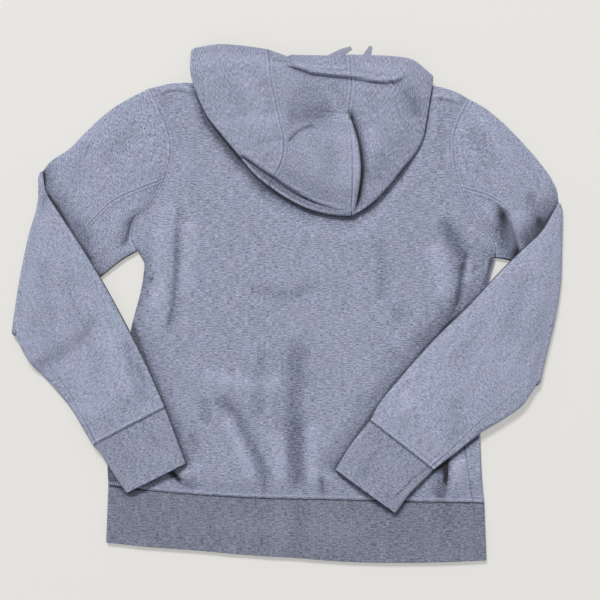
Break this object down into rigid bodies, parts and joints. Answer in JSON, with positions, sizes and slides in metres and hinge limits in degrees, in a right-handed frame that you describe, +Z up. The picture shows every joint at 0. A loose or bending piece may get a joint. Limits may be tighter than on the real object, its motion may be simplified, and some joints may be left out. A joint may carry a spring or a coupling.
{
  "type": "zip-up hoodie",
  "caption": "Hooded sweatshirt with a front zip, rib cuffs and waistband and a hood drawstring, laid out face down with its sleeves folded over the back.",
  "frame": {"origin": "middle of the bounding box's underside, on the surface that the garment lies on", "axes": "+Y from the waistband towards the hood, +X towards the wearer's right sleeve, +Z up out of the back"},
  "size_m": [0.7368, 0.692, 0.0254],
  "materials": {
    "jersey": "heather blue-grey knitted jersey, matt, with fine darker and lighter streaks",
    "rib": "heather blue-grey rib knit, matt, fine upright ribs",
    "zip_tape": "woven tape, matt",
    "nickel": "nickel-coloured metal, satin",
    "cord": "flat woven cord, matt, a little lighter and more lilac than the jersey"
  },
  "bodies": {
    "garment": {"back": "jersey", "front_left": "jersey", "front_right": "jersey", "sleeve_left_main": "jersey", "sleeve_left_under": "jersey", "sleeve_right_main": "jersey", "sleeve_right_under": "jersey", "hood_left": "jersey", "hood_right": "jersey", "hood_center": "jersey", "waistband": "rib", "cuff_left": "rib", "cuff_right": "rib", "zip_tape_left": "zip_tape", "zip_tape_right": "zip_tape", "zip_chain": "nickel", "zip_slider": "nickel", "zip_box": "nickel", "zip_stop": "nickel", "eyelet_left": "nickel", "eyelet_right": "nickel", "drawstring_left": "cord", "drawstring_right": "cord"},
    "pull_tab": {"zip_pull": "nickel"}
  },
  "joints": [
    {"name": "pull_tab_swing", "type": "hinge", "parent": "garment", "child": "pull_tab", "pos_m": [0.02856, 0.189, 0.0012], "axis": [0.9998, -0.0198, 0], "range_deg": [0, 160]}
  ]
}
